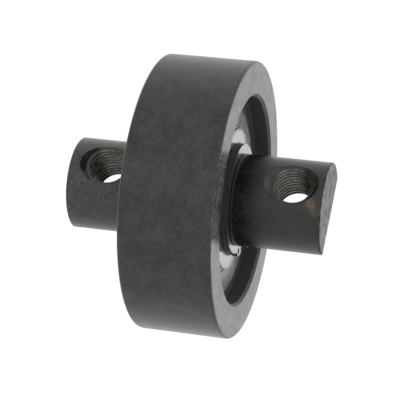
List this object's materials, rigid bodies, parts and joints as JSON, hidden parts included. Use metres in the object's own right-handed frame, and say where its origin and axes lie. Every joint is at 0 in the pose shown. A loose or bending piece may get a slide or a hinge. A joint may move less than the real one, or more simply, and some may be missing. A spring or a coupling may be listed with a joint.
{
  "type": "cam follower",
  "caption": "Double-ended cam follower: a webbed steel roller on a caged needle bearing, on an axle with a flat and a tapped cross hole at each end.",
  "frame": {"origin": "centre of the roller, midway along the axle on its axis", "axes": "+Y along the axle (the roller's spin axis); +Z along the tapped cross holes, out of their countersunk round side, so the axle's flats face -Z; +X completes a right-handed frame"},
  "size_m": [0.105, 0.0974, 0.105],
  "materials": {
    "axle_black_oxide": "black oxide, satin, brown and blue heat stains",
    "roller_black_oxide": "black oxide over fine turning, satin",
    "bearing_steel": "ground",
    "needle_steel": "ground and polished bearing steel",
    "cage_steel": "pressed sheet",
    "washer_steel": "hardened and ground, mirror-like",
    "spring_steel": "bright ground"
  },
  "bodies": {
    "axle": {"axle": "axle_black_oxide", "bearing_inner_ring": "bearing_steel", "thrust_washer_left": "washer_steel", "thrust_washer_right": "washer_steel", "retaining_ring_left": "spring_steel", "retaining_ring_right": "spring_steel"},
    "roller": {"roller": "roller_black_oxide", "bearing_outer_ring": "bearing_steel"},
    "cage": {"needle_cage": "cage_steel"},
    "needle_01_body": {"needle_01": "needle_steel"},
    "needle_02_body": {"needle_02": "needle_steel"},
    "needle_03_body": {"needle_03": "needle_steel"},
    "needle_04_body": {"needle_04": "needle_steel"},
    "needle_05_body": {"needle_05": "needle_steel"},
    "needle_06_body": {"needle_06": "needle_steel"},
    "needle_07_body": {"needle_07": "needle_steel"},
    "needle_08_body": {"needle_08": "needle_steel"},
    "needle_09_body": {"needle_09": "needle_steel"},
    "needle_10_body": {"needle_10": "needle_steel"},
    "needle_11_body": {"needle_11": "needle_steel"},
    "needle_12_body": {"needle_12": "needle_steel"},
    "needle_13_body": {"needle_13": "needle_steel"},
    "needle_14_body": {"needle_14": "needle_steel"},
    "needle_15_body": {"needle_15": "needle_steel"},
    "needle_16_body": {"needle_16": "needle_steel"},
    "needle_17_body": {"needle_17": "needle_steel"},
    "needle_18_body": {"needle_18": "needle_steel"},
    "needle_19_body": {"needle_19": "needle_steel"},
    "needle_20_body": {"needle_20": "needle_steel"}
  },
  "joints": [
    {"name": "roller_spin", "type": "hinge", "parent": "axle", "child": "roller", "pos_m": [0, 0, 0], "axis": [0, 1, 0], "continuous": true},
    {"name": "cage_spin", "type": "hinge", "parent": "axle", "child": "cage", "pos_m": [0, 0, 0], "axis": [0, 1, 0], "continuous": true},
    {"name": "needle_01_spin", "type": "hinge", "parent": "cage", "child": "needle_01_body", "pos_m": [0.023, 0, 0], "axis": [0, 1, 0], "continuous": true},
    {"name": "needle_02_spin", "type": "hinge", "parent": "cage", "child": "needle_02_body", "pos_m": [0.02187, 0, 0.00711], "axis": [0, 1, 0], "continuous": true},
    {"name": "needle_03_spin", "type": "hinge", "parent": "cage", "child": "needle_03_body", "pos_m": [0.01861, 0, 0.01352], "axis": [0, 1, 0], "continuous": true},
    {"name": "needle_04_spin", "type": "hinge", "parent": "cage", "child": "needle_04_body", "pos_m": [0.01352, 0, 0.01861], "axis": [0, 1, 0], "continuous": true},
    {"name": "needle_05_spin", "type": "hinge", "parent": "cage", "child": "needle_05_body", "pos_m": [0.00711, 0, 0.02187], "axis": [0, 1, 0], "continuous": true},
    {"name": "needle_06_spin", "type": "hinge", "parent": "cage", "child": "needle_06_body", "pos_m": [0, 0, 0.023], "axis": [0, 1, 0], "continuous": true},
    {"name": "needle_07_spin", "type": "hinge", "parent": "cage", "child": "needle_07_body", "pos_m": [-0.00711, 0, 0.02187], "axis": [0, 1, 0], "continuous": true},
    {"name": "needle_08_spin", "type": "hinge", "parent": "cage", "child": "needle_08_body", "pos_m": [-0.01352, 0, 0.01861], "axis": [0, 1, 0], "continuous": true},
    {"name": "needle_09_spin", "type": "hinge", "parent": "cage", "child": "needle_09_body", "pos_m": [-0.01861, 0, 0.01352], "axis": [0, 1, 0], "continuous": true},
    {"name": "needle_10_spin", "type": "hinge", "parent": "cage", "child": "needle_10_body", "pos_m": [-0.02187, 0, 0.00711], "axis": [0, 1, 0], "continuous": true},
    {"name": "needle_11_spin", "type": "hinge", "parent": "cage", "child": "needle_11_body", "pos_m": [-0.023, 0, 0], "axis": [0, 1, 0], "continuous": true},
    {"name": "needle_12_spin", "type": "hinge", "parent": "cage", "child": "needle_12_body", "pos_m": [-0.02187, 0, -0.00711], "axis": [0, 1, 0], "continuous": true},
    {"name": "needle_13_spin", "type": "hinge", "parent": "cage", "child": "needle_13_body", "pos_m": [-0.01861, 0, -0.01352], "axis": [0, 1, 0], "continuous": true},
    {"name": "needle_14_spin", "type": "hinge", "parent": "cage", "child": "needle_14_body", "pos_m": [-0.01352, 0, -0.01861], "axis": [0, 1, 0], "continuous": true},
    {"name": "needle_15_spin", "type": "hinge", "parent": "cage", "child": "needle_15_body", "pos_m": [-0.00711, 0, -0.02187], "axis": [0, 1, 0], "continuous": true},
    {"name": "needle_16_spin", "type": "hinge", "parent": "cage", "child": "needle_16_body", "pos_m": [0, 0, -0.023], "axis": [0, 1, 0], "continuous": true},
    {"name": "needle_17_spin", "type": "hinge", "parent": "cage", "child": "needle_17_body", "pos_m": [0.00711, 0, -0.02187], "axis": [0, 1, 0], "continuous": true},
    {"name": "needle_18_spin", "type": "hinge", "parent": "cage", "child": "needle_18_body", "pos_m": [0.01352, 0, -0.01861], "axis": [0, 1, 0], "continuous": true},
    {"name": "needle_19_spin", "type": "hinge", "parent": "cage", "child": "needle_19_body", "pos_m": [0.01861, 0, -0.01352], "axis": [0, 1, 0], "continuous": true},
    {"name": "needle_20_spin", "type": "hinge", "parent": "cage", "child": "needle_20_body", "pos_m": [0.02187, 0, -0.00711], "axis": [0, 1, 0], "continuous": true}
  ],
  "couplings": [
    {"joint": "cage_spin", "follows": "roller_spin", "ratio": 0.54348},
    {"joint": "needle_01_spin", "follows": "roller_spin", "ratio": 5.7065},
    {"joint": "needle_02_spin", "follows": "roller_spin", "ratio": 5.7065},
    {"joint": "needle_03_spin", "follows": "roller_spin", "ratio": 5.7065},
    {"joint": "needle_04_spin", "follows": "roller_spin", "ratio": 5.7065},
    {"joint": "needle_05_spin", "follows": "roller_spin", "ratio": 5.7065},
    {"joint": "needle_06_spin", "follows": "roller_spin", "ratio": 5.7065},
    {"joint": "needle_07_spin", "follows": "roller_spin", "ratio": 5.7065},
    {"joint": "needle_08_spin", "follows": "roller_spin", "ratio": 5.7065},
    {"joint": "needle_09_spin", "follows": "roller_spin", "ratio": 5.7065},
    {"joint": "needle_10_spin", "follows": "roller_spin", "ratio": 5.7065},
    {"joint": "needle_11_spin", "follows": "roller_spin", "ratio": 5.7065},
    {"joint": "needle_12_spin", "follows": "roller_spin", "ratio": 5.7065},
    {"joint": "needle_13_spin", "follows": "roller_spin", "ratio": 5.7065},
    {"joint": "needle_14_spin", "follows": "roller_spin", "ratio": 5.7065},
    {"joint": "needle_15_spin", "follows": "roller_spin", "ratio": 5.7065},
    {"joint": "needle_16_spin", "follows": "roller_spin", "ratio": 5.7065},
    {"joint": "needle_17_spin", "follows": "roller_spin", "ratio": 5.7065},
    {"joint": "needle_18_spin", "follows": "roller_spin", "ratio": 5.7065},
    {"joint": "needle_19_spin", "follows": "roller_spin", "ratio": 5.7065},
    {"joint": "needle_20_spin", "follows": "roller_spin", "ratio": 5.7065}
  ]
}
